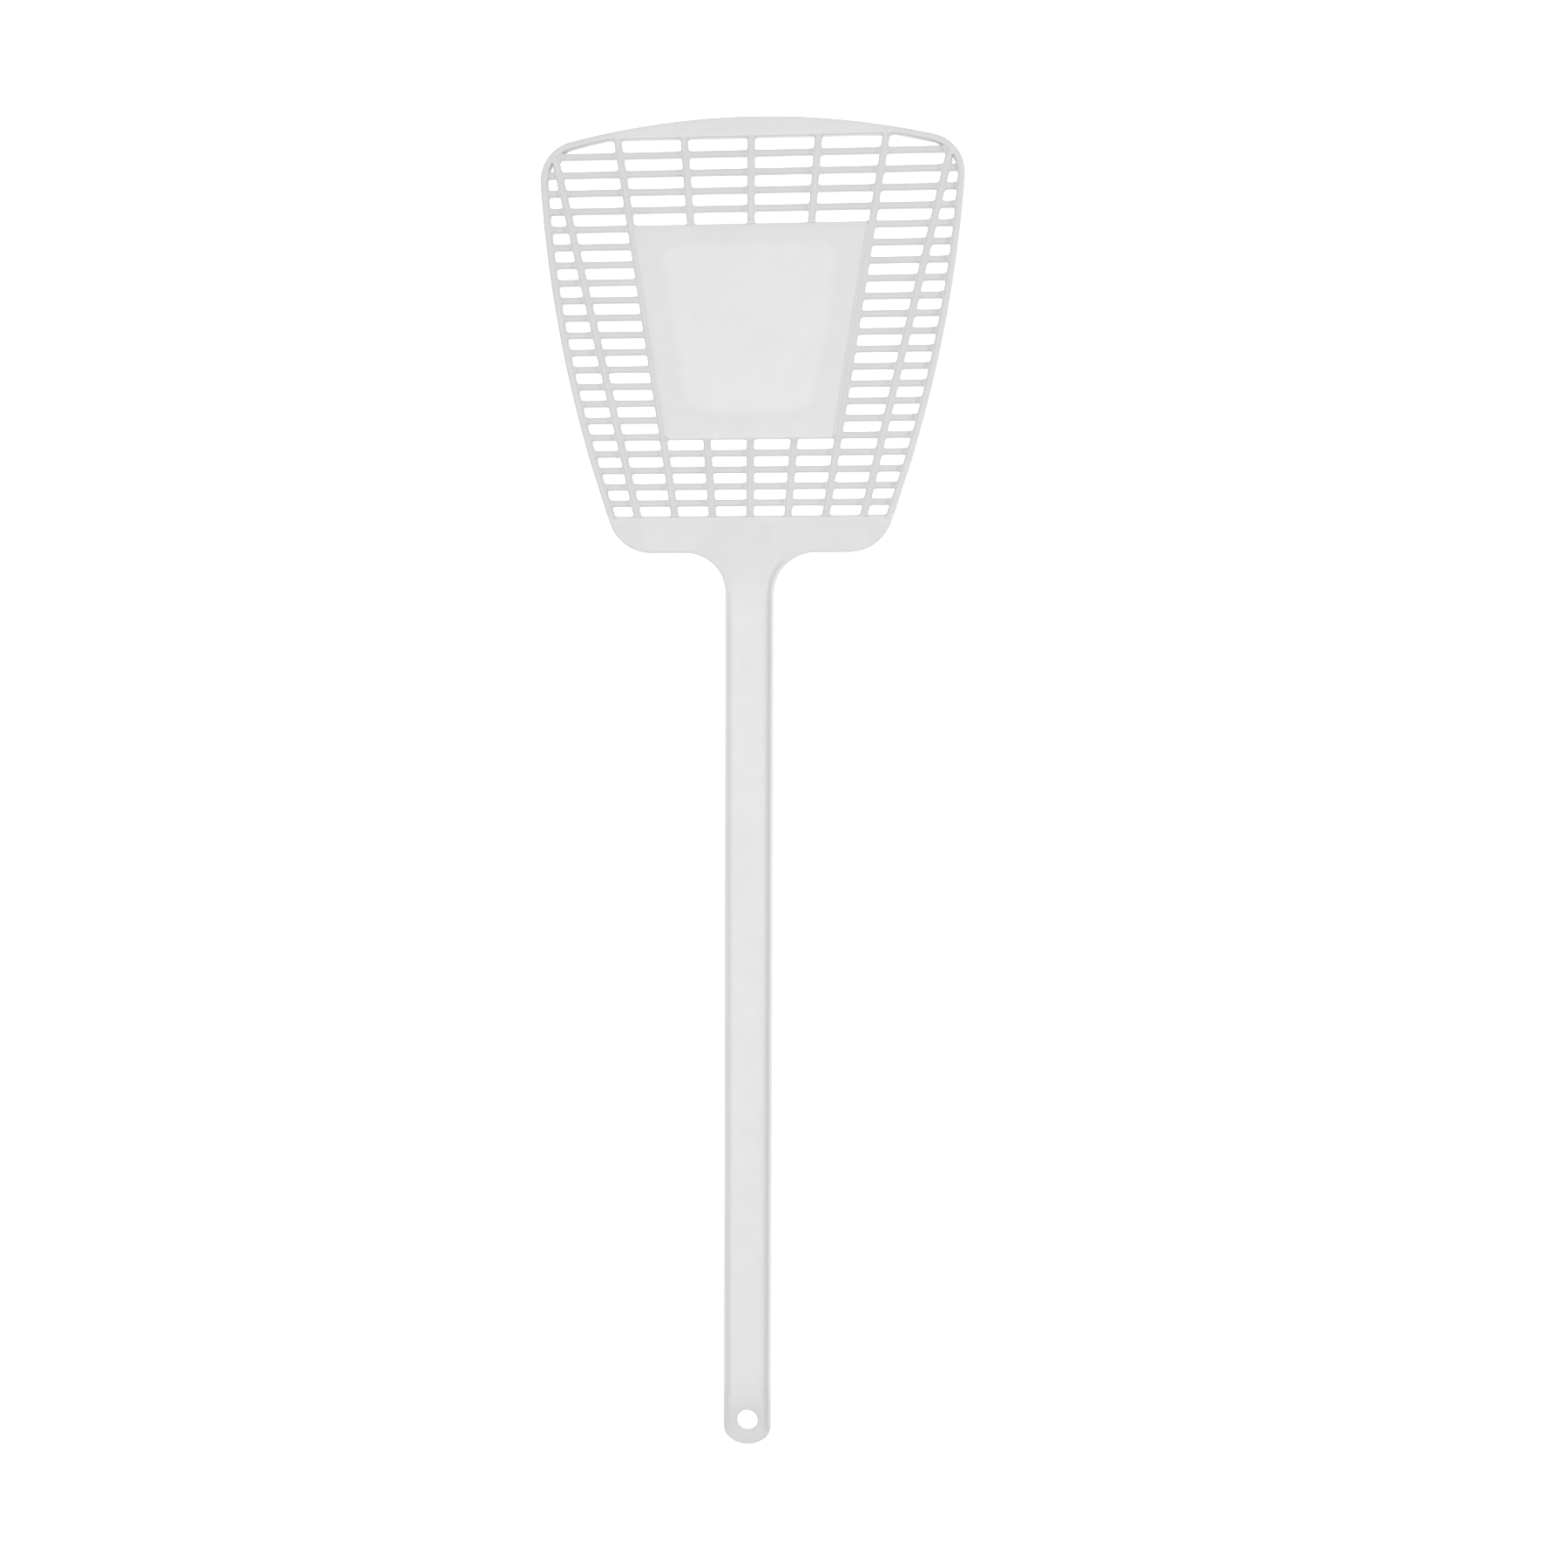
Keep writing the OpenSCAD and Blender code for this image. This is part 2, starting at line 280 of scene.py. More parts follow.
def half_head(inset):
    """Right half of the head, from the shoulder's lower edge up to the tip, set in by a margin."""
    lean_low = cmath.phase(low_corner_c - side_c)
    lean_high = cmath.phase(top_corner_c - side_c)
    lean_tip = cmath.phase(top_corner_c - tip_c)
    return (
        arc(low_corner_c, SHOULDER_CORNER_R - inset, -math.pi / 2, lean_low, 14)
        + arc(side_c, SIDE_ARC_R - inset, lean_low, lean_high, 44)[1:]
        + arc(top_corner_c, TOP_CORNER_R - inset, lean_high, lean_tip, 18)[1:]
        + arc(tip_c, TIP_ARC_R - inset, lean_tip, math.pi / 2, 40)[1:]
    )


def at_height(line, y):
    """Point where a line that climbs along Y reaches y."""
    for p, q in zip(line, line[1:]):
        if p.imag <= y <= q.imag:
            return p + (q - p) * (y - p.imag) / (q.imag - p.imag)
    return line[-1] if y > line[-1].imag else line[0]


def at_x(line, x):
    """Point near the tip, where the outline runs back towards the middle, that lies at x."""
    for p, q in zip(line[::-1], line[-2::-1]):
        if p.real <= x <= q.real:
            return p + (q - p) * (x - p.real) / (q.real - p.real)


outer_line = [complex(min(p.real, head_half_w), p.imag) for p in half_head(0)]
inner_line = half_head(RIM_W)


def wall_x(y):
    return at_height(inner_line, y).real


# Lattice: the long ribs are numbered from the middle, -3 to 3.
OUTER_RIB = 3
PANEL_RIB = 2
fan_slope = (fan_high_x - fan_low_x - LONG_RIB_W) / (band_y - plate_y)
fan_half_w = LONG_RIB_W / 2 / math.cos(math.atan(fan_slope))
spread_low = fan_low_x + fan_half_w
spread_slope = (fan_high_x - fan_half_w - spread_low) / (band_y - plate_y)


def fan_x(k, y):
    return k * (spread_low + spread_slope * (y - plate_y))


def fan_edge(k, y, side):
    return fan_x(k, y) + side * LONG_RIB_W / 2 / math.cos(math.atan(k * spread_slope))


def rim_meets(side):
    """Height at which one side of the outermost long rib runs under the rim, to a twentieth of a mm."""
    heights = (y / 20 for y in range(int(tip_y * 20), 0, -1))
    return next(y for y in heights if fan_edge(OUTER_RIB, y, side) < wall_x(y))


outer_rib_end_y = rim_meets(1)


class Form:
    """A closed shape over a plan: a top, a back below it and walls round their common edges."""

    def __init__(self):
        self.plan, self.tops, self.backs, self.faces = [], [], [], []
        # painted light and shade of a point on the plan, which scales the base colour
        self.tone = lambda p: WEB_TONE

    def grid(self, rows, top, back):
        """Quads over rows of plan points that run from left to right, one above the other."""
        across = len(rows[0])
        self.plan = [p for row in rows for p in row]
        self.tops = [top(p) for p in self.plan]
        self.backs = [back(p) for p in self.plan]
        for i in range(len(rows) - 1):
            for j in range(across - 1):
                n = i * across + j
                self.faces.append([n, n + 1, n + across + 1, n + across])

    def ribbon(self, pairs, height, radii, columns=1):
        """A strip between two edges, with a pair of edge points at each station."""
        base = len(self.plan)
        for index, (a, b) in enumerate(pairs):
            length = abs(b - a)
            reach = [min(r, 0.48 * length) for r in radii]
            near = [reach[0] * q for q in ROUND] if radii[0] else [0.0]
            far = [length - reach[1] * q for q in reversed(ROUND)] if radii[1] else [length]
            gap = (far[0] - near[-1]) / (columns + 1)
            offsets = near + [near[-1] + gap * (i + 1) for i in range(columns)] + far
            for e in offsets:
                p = a + unit(b - a) * e
                z = height(p, index)
                back = 0.0
                for side, away in ((0, e), (1, length - e)):
                    if radii[side]:
                        z -= drop(away, reach[side])
                        back += drop(away, FOOT_R)
                self.plan.append(p)
                self.tops.append(z)
                self.backs.append(back)
            across = len(offsets)
        (a, b), (c, _) = pairs[0], pairs[1]
        turn = ((c - a).conjugate() * (b - a)).imag
        for i in range(len(pairs) - 1):
            for j in range(across - 1):
                n = base + i * across + j
                quad = [n, n + across, n + across + 1, n + 1]
                self.faces.append(quad if turn > 0 else quad[::-1])

    def sheet(self, loops, lines, spacing, top, back):
        """A region inside closed loops. The mesh also follows the lines, and loose points fill the rest."""
        verts, edges = [], []
        for line, closed in [(loop, True) for loop in loops] + [(line, False) for line in lines]:
            base, n = len(verts), len(line)
            verts += line
            edges += [(base + i, base + (i + 1) % n) for i in range(n if closed else n - 1)]
        taken = list(verts)
        low = complex(min(p.real for p in loops[0]), min(p.imag for p in loops[0]))
        high = complex(max(p.real for p in loops[0]), max(p.imag for p in loops[0]))
        for row in range(int((high - low).imag / spacing) + 1):
            for column in range(int((high - low).real / spacing) + 1):
                p = low + complex((column + 0.5 * (row % 2) + 0.25) * spacing, (row + 0.5) * spacing)
                if inside(p, loops) and min(abs(p - q) for q in taken) > SHEET_CLEARANCE * spacing:
                    verts.append(p)
        flat = [Vector((p.real, p.imag)) for p in verts]
        found, _, faces, _, _, _ = delaunay_2d_cdt(flat, edges, [], 0, 1e-5)
        base = len(self.plan)
        plan = [complex(*v) for v in found]
        self.plan += plan
        self.tops += [top(p) for p in plan]
        self.backs += [back(p) for p in plan]
        for face in faces:
            if inside(sum(plan[i] for i in face) / 3, loops):
                a, b, c = [plan[i] for i in face]
                turn = ((b - a).conjugate() * (c - a)).imag
                self.faces.append([base + i for i in (face if turn > 0 else face[::-1])])

    def build(self, node):
        """Makes the mesh, which then stands for the CAD node."""
        used = sorted({i for face in self.faces for i in face})
        place = {i: n for n, i in enumerate(used)}
        count = len(used)
        verts = [
            (self.plan[i].real * MM, self.plan[i].imag * MM, heights[i] * MM)
            for heights in (self.tops, self.backs) for i in used
        ]
        tops = [[place[i] for i in face] for face in self.faces]
        sides = {(a, b) for face in tops for a, b in zip(face, face[1:] + face[:1])}
        walls = sorted([a + count, b + count, b, a] for a, b in sides if (b, a) not in sides)
        backs = [[i + count for i in reversed(face)] for face in tops]
        mesh = bpy.data.meshes.new(node + "_form")
        mesh.from_pydata(verts, [], tops + backs + walls)
        mesh.validate()
        mesh.shade_smooth()
        mesh.set_sharp_from_angle(angle=math.radians(40))
        # Painted light and shade: each corner gets a lightness for the base colour, and the walls get extra
        # painted light.
        tones = [self.tone(self.plan[i]) for i in used] * 2
        shades = [tones[v] for face in tops + backs for v in face]
        shades += [tones[v] * WALL_PAINTED_LIGHT for face in walls for v in face]
        mesh.attributes.new("tone", "FLOAT", "CORNER").data.foreach_set("value", shades)
        piece = bpy.data.objects.new(node + "_form", mesh)
        bpy.context.scene.collection.objects.link(piece)
        mesh.materials.append(plastic)
        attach(piece, "root")
        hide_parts(node)


def inside(p, loops):
    odd = False
    for loop in loops:
        for a, b in zip(loop, loop[1:] + loop[:1]):
            if (a.imag > p.imag) != (b.imag > p.imag):
                odd ^= p.real < a.real + (b.real - a.real) * (p.imag - a.imag) / (b.imag - a.imag)
    return odd


# Material.
def make_plastic():
    """Satin white polypropylene: painted light and shade from each corner's attribute, faint mottling,
    uneven gloss and a fine moulded grain.
    """
    mat = bpy.data.materials.new("white_polypropylene")
    mat.use_nodes = True
    nodes, links = mat.node_tree.nodes, mat.node_tree.links
    shader = nodes["Principled BSDF"]
    shader.inputs["IOR"].default_value = 1.49
    place = nodes.new("ShaderNodeTexCoord").outputs["Object"]

    def noise(scale, detail):
        node = nodes.new("ShaderNodeTexNoise")
        node.inputs["Scale"].default_value = scale
        node.inputs["Detail"].default_value = detail
        links.new(place, node.inputs["Vector"])
        return node.outputs["Fac"]

    def spread(source, low, high):
        node = nodes.new("ShaderNodeMapRange")
        node.inputs["From Min"].default_value = 0.3
        node.inputs["From Max"].default_value = 0.7
        node.inputs["To Min"].default_value = low
        node.inputs["To Max"].default_value = high
        links.new(source, node.inputs["Value"])
        return node.outputs["Result"]

    def times(a, b):
        node = nodes.new("ShaderNodeMath")
        node.operation = "MULTIPLY"
        links.new(a, node.inputs[0])
        links.new(b, node.inputs[1])
        return node.outputs["Value"]

    # Painted light and shade: the per-corner attribute scales the base colour.
    tone = nodes.new("ShaderNodeAttribute")
    tone.attribute_name = "tone"
    lightness = times(tone.outputs["Fac"], spread(noise(45, 3), 0.985, 1.01))
    lightness = times(lightness, spread(noise(420, 2), 0.99, 1.005))
    colour = nodes.new("ShaderNodeVectorMath")
    colour.operation = "SCALE"
    colour.inputs[0].default_value = PLASTIC
    links.new(lightness, colour.inputs["Scale"])
    links.new(colour.outputs["Vector"], shader.inputs["Base Color"])
    links.new(spread(noise(160, 4), 0.36, 0.5), shader.inputs["Roughness"])
    grain = nodes.new("ShaderNodeBump")
    grain.inputs["Strength"].default_value = 0.12
    grain.inputs["Distance"].default_value = 0.00006
    links.new(noise(1800, 3), grain.inputs["Height"])
    waves = nodes.new("ShaderNodeBump")
    waves.inputs["Strength"].default_value = 0.25
    waves.inputs["Distance"].default_value = 0.0003
    links.new(noise(70, 2), waves.inputs["Height"])
    links.new(grain.outputs["Normal"], waves.inputs["Normal"])
    links.new(waves.outputs["Normal"], shader.inputs["Normal"])
    return mat


plastic = make_plastic()


# Head: cross ribs, long ribs, rim, band, panel and plate.
NARROWEST_BAY = 0.6
CORNER_REACH = 1.5  # a cross rib is at a top corner if the outermost long rib is this near the rim
POINTED_RISE = 0.5  # a wall that runs off by more than POINTED_RUN in this height leaves a point
POINTED_RUN = 0.3


def bay_stations(left, right, low_y, high_y):
    """Edge points and lift of a cross rib between two walls, given as functions from y to x."""
    mid_y = (low_y + high_y) / 2
    gap = min(right(y) - left(y) for y in (low_y - FLARE_R, mid_y, high_y + FLARE_R))
    r = min(FLARE_R, 0.4 * gap)
    reach = min(LIFT_L, 0.47 * gap)
    steps = [r * q for q in ROUND] + [r + (reach - r) * i / 3 for i in (1, 2, 3)]
    stations = []
    for wall, way in ((left, 1), (right, -1)):
        at_rim = min(abs(abs(wall(y)) - wall_x(y)) for y in (low_y, mid_y, high_y)) < TOUCHING
        lift = RIM_LIFT if at_rim else RIB_LIFT
        at_panel_rib = abs(wall(mid_y)) < fan_edge(PANEL_RIB, mid_y, 1) + TOUCHING
        if at_panel_rib and panel_low_y < mid_y < panel_high_y:
            lift -= PANEL_SIDE_SINK
        pointed = abs(wall(high_y + POINTED_RISE) - wall(high_y)) > POINTED_RUN
        for d in steps[::way]:
            grown = drop(d, r)
            low, high = low_y - grown, high_y + (0.0 if pointed else grown)
            pair = (complex(wall(low) + way * d, low), complex(wall(high) + way * d, high))
            stations.append((pair, lift * smooth(1 - d / reach)))
    return stations


def cross_rib(node):
    (_, low_y, _), (_, high_y, _) = box(node)
    mid_y = (low_y + high_y) / 2
    walls = [lambda y: -wall_x(y)]
    for k in range(-OUTER_RIB, OUTER_RIB + 1):
        walls += [lambda y, k=k, s=s: fan_edge(k, y, s) for s in (-1, 1)]
    walls.append(wall_x)
    bays = list(zip(walls[::2], walls[1::2]))
    split = panel_low_y < mid_y < panel_high_y
    at_corner = not split and fan_edge(OUTER_RIB, mid_y, -1) > wall_x(mid_y) - CORNER_REACH

    def corner_x(y):
        return min(wall_x(y), fan_edge(OUTER_RIB, y, -1))

    def run_on(pair, way):
        """Station that ends a run inside its neighbour, or under the rim at a top corner."""
        if at_corner:
            return [complex(way * (fan_edge(OUTER_RIB, p.imag, -1) + CORNER_EMBED), p.imag) for p in pair]
        return [p + way * EMBED for p in pair]

    form = Form()
    for run in (bays[:2], bays[-2:]) if split else (bays,):
        open_bays = [
            (a, b) for a, b in run
            if b(mid_y) - a(mid_y) > NARROWEST_BAY and abs(a(mid_y) + b(mid_y)) / 2 < wall_x(mid_y)
        ]
        if at_corner:
            open_bays[0] = (lambda y: -corner_x(y), open_bays[0][1])
            open_bays[-1] = (open_bays[-1][0], corner_x)
        stations = [s for a, b in open_bays for s in bay_stations(a, b, low_y, high_y)]
        pairs, lifts = zip(*stations)
        pairs = [run_on(pairs[0], -1), *pairs, run_on(pairs[-1], 1)]
        lifts = [lifts[0], *lifts, lifts[-1]]
        form.ribbon(pairs, lambda p, i: cross_rib_t + lifts[i], (CROSS_CROWN_R, CROSS_CROWN_R))
    form.backs = [back + CROSS_BACK_LIFT for back in form.backs]
    # Painted shade: the narrow cross ribs are painted darker.
    form.tone = lambda p: CROSS_TONE
    form.build(node)


def past_panel(y):
    """Distance above or below the panel, negative beside it."""
    return max(panel_low_y - y, y - panel_high_y)


def rib_rise(k, y):
    """How far a long rib's top is above its usual height: up to a thick wall, down to the panel."""
    climb = BAND_LIFT * smooth(1 - min(y - plate_y, band_y - y) / LIFT_L)
    if abs(k) < PANEL_RIB:
        return climb - (long_rib_t - panel_t) * PANEL_MEET * (1 - smooth(past_panel(y) / PANEL_MEET_L))
    if abs(k) == PANEL_RIB:
        return climb - PANEL_SIDE_SINK * (1 - smooth((past_panel(y) + PANEL_SINK_LEAD) / PANEL_SINK_L))
    return climb + (rim_t - long_rib_t - RIM_GAP) * smooth((y - outer_rib_end_y + RIM_RISE_L) / RIM_RISE_L)


def rib_growth(k, y, side):
    """Width that the fillets in the slots' corners add to one side of a long rib."""
    gaps = [y - plate_y]
    if abs(k) < OUTER_RIB:
        gaps.append(band_y - y)
    elif side * k > 0:
        fillets = max(drop(y - plate_y, FLARE_R), drop(outer_rib_end_y - y, RIM_FILLET_R))
        return fillets + RIM_SPREAD * smooth((y - outer_rib_end_y) / RIM_RUN)
    if abs(k) < PANEL_RIB or abs(k) == PANEL_RIB and side * k < 0:
        gaps.append(past_panel(y))
        if abs(k) == PANEL_RIB and past_panel(y) < 0:
            return FLARE_R * (1 - smooth(-past_panel(y) / PANEL_FLARE_L))
    return drop(min(gaps), FLARE_R)


def long_rib(node, k):
    near = [FLARE_R * q for q in ROUND] + [1.1, 1.6, 2.4]
    past = [0.35, 0.75, 1.2, 1.8]
    foot = [plate_y - EMBED] + [plate_y + d for d in near]
    head = [band_y - d for d in reversed(near)] + [band_y + EMBED]
    below = [panel_low_y - d for d in reversed(near)]
    above = [panel_high_y + d for d in near]
    if abs(k) < PANEL_RIB:
        bars = [foot + below + [panel_low_y + EMBED], [panel_high_y - EMBED] + above + head]
    elif abs(k) == PANEL_RIB:
        beside = [panel_low_y + d for d in past] + [panel_high_y - d for d in reversed(past)]
        bars = [foot + below + beside + above + head]
    else:
        approach = [outer_rib_end_y - d for d in [3.2] + near[::-1]]
        bars = [foot + approach + [outer_rib_end_y + RIM_RUN * share for share in (0.5, 1)]]
    form = Form()
    for ys in bars:
        pairs = [[complex(fan_edge(k, y, s) + s * rib_growth(k, y, s), y) for s in (-1, 1)] for y in ys]
        if abs(k) == OUTER_RIB:
            # The rim meets the rib's inner side further up, so its end turns until it lies across both.
            for share in (0.5, 1.0):
                inner_y = outer_rib_end_y + RIM_RUN + (rim_meets(-1) + RIM_RUN - outer_rib_end_y) * share
                inner = complex(fan_edge(OUTER_RIB, inner_y, -1), inner_y)
                outer = (pairs[-1][1] if k > 0 else mirrored(pairs[-1][0])) + 0.25j * share
                pairs.append([inner, outer] if k > 0 else [mirrored(outer), mirrored(inner)])
        form.ribbon(pairs, lambda p, i: long_rib_t + rib_rise(k, p.imag), (LONG_CROWN_R, LONG_CROWN_R))
    form.backs = [back + LONG_BACK_LIFT for back in form.backs]
    # Painted shade: the long ribs are painted darker.
    form.tone = lambda p: LONG_TONE
    form.build(node)


def rim(node, side):
    """Rim from the plate's top edge up the side and round the corner to the tip band."""
    stations = []
    for q in ROUND:
        y = plate_y + FLARE_R * q
        stations.append((at_height(outer_line, y), at_height(inner_line, y) - drop(FLARE_R * q, FLARE_R)))
    above_fillet = plate_y + 1.6
    beside_seam = seam_x + 0.3
    stations += [
        (a, b) for a, b in zip(outer_line, inner_line)
        if min(a.imag, b.imag) > above_fillet and min(a.real, b.real) > beside_seam
    ]
    stations.append((at_x(outer_line, seam_x), at_x(inner_line, seam_x)))
    if side < 0:
        stations = [(mirrored(a), mirrored(b)) for a, b in stations]
    form = Form()
    form.ribbon(stations, lambda p, i: rim_t, (RIM_CROWN_R, RIM_CROWN_R))
    # Painted shade: the rim is painted darker.
    form.tone = lambda p: RIM_TONE
    form.build(node)


def tip_band():
    """Crescent between the tip's edge and the lattice, which ends at the two seams with the rim."""
    bend = at_height(inner_line, band_y).real
    past_bend = 50.5
    xs = sorted([seam_x, past_bend, bend] + [bend * i / BAND_STEPS for i in range(BAND_STEPS)])
    xs = [-x for x in reversed(xs[1:])] + xs
    pairs = []
    for x in xs:
        top = at_x(outer_line, abs(x)) if abs(x) > TOUCHING else outer_line[-1]
        low = band_y if abs(x) <= bend else at_x(inner_line, abs(x)).imag
        pairs.append((complex(x, low), complex(x, top.imag)))
    form = Form()
    form.ribbon(pairs, lambda p, i: rim_t, (PLATE_EDGE_R, RIM_CROWN_R), columns=4)
    # Painted shade: the rim is painted darker than the band, blending into it away from the seams.
    form.tone = lambda p: RIM_TONE + (BAND_TONE - RIM_TONE) * smooth((seam_x - abs(p.real)) / BAND_TONE_L)
    form.build("tip_band")


def print_panel():
    """Panel with a shallow rounded field. Its sides end inside the long ribs that flank it."""
    lean = math.atan(PANEL_RIB * spread_slope)

    def field(p):
        """Distance into the rounded field, negative outside it."""
        x, y = abs(p.real), p.imag
        flat = (fan_x(PANEL_RIB, y) - x) * math.cos(lean) - LONG_RIB_W / 2 - FIELD_BORDER - FIELD_CORNER_R
        rise = min(y - panel_low_y, panel_high_y - y) - FIELD_BORDER - FIELD_CORNER_R
        inner = min(flat, rise, 0.0) if flat > 0 or rise > 0 else -abs(complex(flat, rise))
        return FIELD_CORNER_R + (min(flat, rise) if flat > 0 and rise > 0 else inner)

    def edge(p):
        """Distance from the nearer of the panel's upper and lower edge."""
        return min(p.imag - panel_low_y, panel_high_y - p.imag)

    def top(p):
        beside = fan_edge(PANEL_RIB, p.imag, -1) - abs(p.real)
        z = panel_t - FIELD_DEPTH * smooth(field(p) / FIELD_SLOPE_L + 0.5)
        z -= LIP_DROP * PANEL_LIP_SHARE * max(0.0, 1 - edge(p) / LIP_W)
        z += PANEL_SIDE_RISE * (1 - smooth(beside / PANEL_SIDE_RISE_L))
        return z - drop(edge(p), PANEL_EDGE_R)

    edge_rows = [PANEL_EDGE_R * q for q in ROUND] + [0.8, 1.2, 1.7, LIP_W]
    inner_h = panel_high_y - panel_low_y - 2 * LIP_W
    inner_rows = [LIP_W + inner_h * i / PANEL_STEPS for i in range(1, PANEL_STEPS)]
    ys = [panel_low_y + d for d in edge_rows + inner_rows] + [panel_high_y - d for d in reversed(edge_rows)]
    side_columns = [0.0, 0.3, 0.5, 0.75, 1.0, 1.3]
    rows = []
    for y in ys:
        half = fan_edge(PANEL_RIB, y, -1) + EMBED
        rest = half - side_columns[-1]
        xs = [-half + d for d in side_columns]
        xs += [-rest + 2 * rest * i / PANEL_STEPS for i in range(1, PANEL_STEPS)]
        xs += [half - d for d in reversed(side_columns)]
        rows.append([complex(x, y) for x in xs])
    form = Form()
    form.grid(rows, top, lambda p: drop(edge(p), FOOT_R))
    # Painted light and shade: the thinner field is painted lighter than its border, for the light that
    # comes through it.
    form.tone = lambda p: BORDER_TONE + (FIELD_TONE - BORDER_TONE) * smooth(field(p) / FIELD_TONE_L + 0.5)
    form.build("print_panel")


def plate_edge(p):
    """Distance from the plate's lower edge, its corners and its sides."""
    q = complex(abs(p.real), p.imag)
    if q.real < neck_c.real:
        return abs(q - neck_c) - NECK_R
    if q.real < low_corner_c.real:
        return q.imag - shoulder_y
    if cmath.phase(q - low_corner_c) < cmath.phase(low_corner_c - side_c):
        return SHOULDER_CORNER_R - abs(q - low_corner_c)
    return SIDE_ARC_R - abs(q - side_c)


def neck_ring(d):
    """Where a line that keeps a distance d from the neck's fillet crosses the plate's lower edge."""
    return complex(neck_c.real - leg(NECK_R + d, NECK_R), shoulder_y)


def neck_ring_start(d):
    """Direction, from the fillet's centre, in which that line crosses it."""
    return math.pi / 2 + math.acos(NECK_R / (NECK_R + d))


def shoulder_plate():
    slot_end = wall_x(plate_y)

    def top(p):
        below = plate_y - p.imag
        z = rim_t - LIP_DROP * max(0.0, 1 - below / LIP_W) * smooth((slot_end - abs(p.real)) / 2)
        z -= drop(plate_edge(p), PLATE_EDGE_R)
        return z - drop(below, PLATE_EDGE_R) if abs(p.real) < slot_end - 0.6 else z

    def back(p):
        return drop(plate_edge(p), FOOT_R)

    def right_side(d):
        line = [p for p in half_head(d) if p.imag < plate_y - 0.2]
        return line + [at_height(half_head(d), plate_y)]

    right = right_side(0)
    straight = [complex(neck_c.real + (right[0].real - neck_c.real) * i / 5, shoulder_y) for i in range(5)]
    seam = [neck_ring(d) for d in reversed([0.0] + EDGE_LINES)]
    seam = [complex(seam[0].real * i / 10, shoulder_y) for i in range(10)] + seam[:-1]
    top_line = [complex(x, plate_y) for x in spaced(0, slot_end, 1.5)]
    rim_seam = [at_height(half_head(d), plate_y) for d in reversed(EDGE_LINES)]
    half = seam + straight + right + rim_seam + top_line[::-1]
    lines = []
    for d in EDGE_LINES:
        ring = arc(neck_c, NECK_R + d, neck_ring_start(d), math.pi / 2, 5)
        ring += [p + d * 1j for p in straight[1:]] + right_side(d)
        lines += [ring, [mirrored(p) for p in ring]]
    for d in EDGE_LINES + [0.8, 1.1, LIP_W]:
        line = [p - d * 1j for p in top_line if p.real < slot_end - 0.2]
        lines.append([mirrored(p) for p in reversed(line[1:])] + line)
    form = Form()
    form.sheet([whole(half, plate_y, shoulder_y)], lines, 1.6, top, back)
    # Painted light and shade: the plate is painted darker than the web, and its top lip, within 1.6 mm of
    # the slots, as light as the web.
    form.tone = lambda p: PLATE_TONE + (WEB_TONE - PLATE_TONE) * (1 - smooth(plate_y - p.imag - 1.6))
    form.build("shoulder_plate")


# Handle: neck, web, beads and tab share one surface.
def handle_edge(p):
    """Distance from the handle's outline."""
    q = complex(abs(p.real), p.imag)
    if q.imag > neck_touch.imag:
        return abs(q - neck_c) - NECK_R
    if dot(q - end_corner_c, side_run) > 0:
        return dot(side_foot - q, side_out)
    if cmath.phase(q - end_arc_c) < end_lean:
        return END_ARC_R - abs(q - end_arc_c)
    return END_CORNER_R - abs(q - end_corner_c)


def bead_amount(p):
    """1 along the straight sides; it fades along the neck's fillets and round the end."""
    q = complex(abs(p.real), p.imag)
    start, stop = BEAD_FADE[1 if p.real > 0 else -1]
    rise = q.imag - neck_touch.imag
    sweep = math.degrees(neck_start - cmath.phase(q - neck_c) if rise > 0 else rise / NECK_R)
    return (1 - smooth((sweep - start) / (stop - start))) * smooth((q.imag - BEAD_END_Y) / BEAD_END_L)


def handle_top(p):
    y = p.imag
    base = web_t + (tab_t - web_t) * smooth((tab_y - y) / TAB_RAMP_L)
    base += (rim_t - web_t) * smooth((y - web_top_y) / (neck_touch.imag + NECK_RAMP_LEAD - web_top_y))
    edge = max(handle_edge(p), 0.0)
    amount = bead_amount(p)
    ridge = min(1.0, max(0.0, 1 - (edge - BEAD_SLOPE_START) / BEAD_SLOPE_L)) ** 2
    crown = BEAD_OUTER_CURVE * max(0.0, BEAD_CREST - edge) ** 2
    crown += BEAD_INNER_CURVE * max(0.0, edge - BEAD_CREST) ** 2
    z = base + amount * ridge * max(0.0, bead_t - crown - base)
    return z - drop(edge, PLATE_EDGE_R)


def handle_back(p):
    return drop(handle_edge(p), FOOT_R)


def handle_tone(p):
    y = p.imag
    # Painted shade: the thicker tab and the plate are painted darker than the web, as less light comes
    # through them.
    tone = WEB_TONE - (WEB_TONE - TAB_TONE) * smooth((tab_y + TAB_TONE_LEAD - y) / TAB_TONE_L)
    return tone - (WEB_TONE - PLATE_TONE) * smooth((y - web_top_y) / (shoulder_y - web_top_y))


def thinned(values, is_near):
    """Every value that is near the handle's end, and further on only some and the last."""
    return [v for n, v in enumerate(values) if is_near(v) or n % FAR_SPACING == 0 or v == values[-1]]


def handle_grid(node, rows):
    form = Form()
    form.grid(rows, handle_top, handle_back)
    form.tone = handle_tone
    form.build(node)


